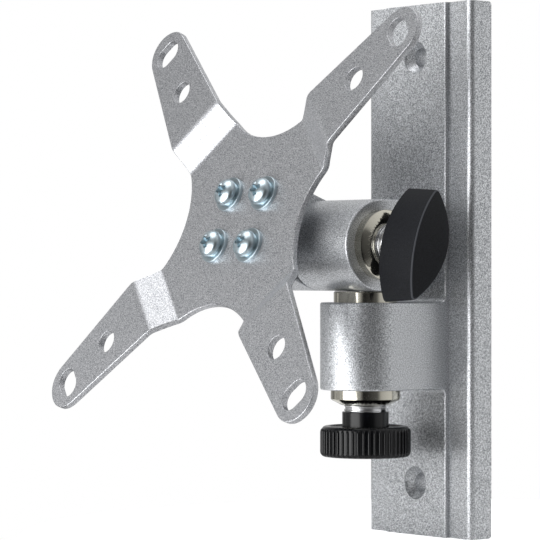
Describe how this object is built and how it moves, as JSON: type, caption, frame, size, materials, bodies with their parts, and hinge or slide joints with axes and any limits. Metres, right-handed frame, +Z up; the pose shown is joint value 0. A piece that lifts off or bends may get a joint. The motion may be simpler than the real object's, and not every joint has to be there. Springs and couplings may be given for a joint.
{
  "type": "monitor wall mount",
  "caption": "Wall plate with a bracket, a swivel block on a post and a tilting head block that carries a pressed cross plate, clamped by a knurled knob and a wing knob.",
  "frame": {"origin": "middle of the wall plate's back face", "axes": "+X to the right as seen by someone who looks at the wall, +Y into the wall, +Z up"},
  "size_m": [0.1144, 0.0749, 0.145],
  "materials": {
    "cast_silver": "die cast, silver grey powder coat with a fine sparkle",
    "sheet_silver": "pressed steel sheet, silver grey powder coat",
    "nickel": "turned and nickel plated",
    "bare_steel": "turned steel",
    "black_steel": "black oxide steel",
    "zinc_steel": "bright zinc plated",
    "white_polymer": "natural polymer",
    "black_gloss": "black moulded plastic, slightly glossy",
    "black_matte": "black moulded plastic, fine grain"
  },
  "bodies": {
    "wall_bracket": {"wall_plate": "cast_silver", "bracket_bush": "nickel", "bracket_collar": "nickel", "swivel_friction_pad": "white_polymer"},
    "swivel": {"swivel_block": "cast_silver", "swivel_post": "bare_steel", "post_set_screw": "black_steel", "tilt_bush": "nickel", "tilt_collar": "nickel", "tilt_friction_pad": "white_polymer"},
    "head": {"head_block": "cast_silver", "tilt_shaft": "bare_steel", "friction_washer": "white_polymer", "tilt_nut_washer": "zinc_steel", "tilt_nut": "zinc_steel", "cross_plate": "sheet_silver", "head_screw_top_left": "zinc_steel", "head_screw_top_right": "zinc_steel", "head_screw_bottom_left": "zinc_steel", "head_screw_bottom_right": "zinc_steel", "head_washer_top_left": "zinc_steel", "head_washer_top_right": "zinc_steel", "head_washer_bottom_left": "zinc_steel", "head_washer_bottom_right": "zinc_steel"},
    "clamp_handle": {"clamp_knob": "black_gloss", "clamp_stud": "bare_steel"},
    "wing_handle": {"wing_knob": "black_matte", "wing_stud": "bare_steel"}
  },
  "joints": [
    {"name": "head_swivel", "type": "hinge", "parent": "wall_bracket", "child": "swivel", "pos_m": [0, -0.02675, 0], "axis": [0, 0, 1], "range_deg": [-15, 20]},
    {"name": "head_tilt", "type": "hinge", "parent": "swivel", "child": "head", "pos_m": [0, -0.03175, 0.0066], "axis": [-1, 0, 0], "range_deg": [-35.5, 9.5]},
    {"name": "clamp_turn", "type": "hinge", "parent": "wall_bracket", "child": "clamp_handle", "pos_m": [0, -0.02675, -0.04], "axis": [0, 0, 1], "range_deg": [-180, 180]},
    {"name": "wing_turn", "type": "hinge", "parent": "swivel", "child": "wing_handle", "pos_m": [0.02, -0.03175, 0.0066], "axis": [1, 0, 0], "range_deg": [-180, 180]}
  ]
}
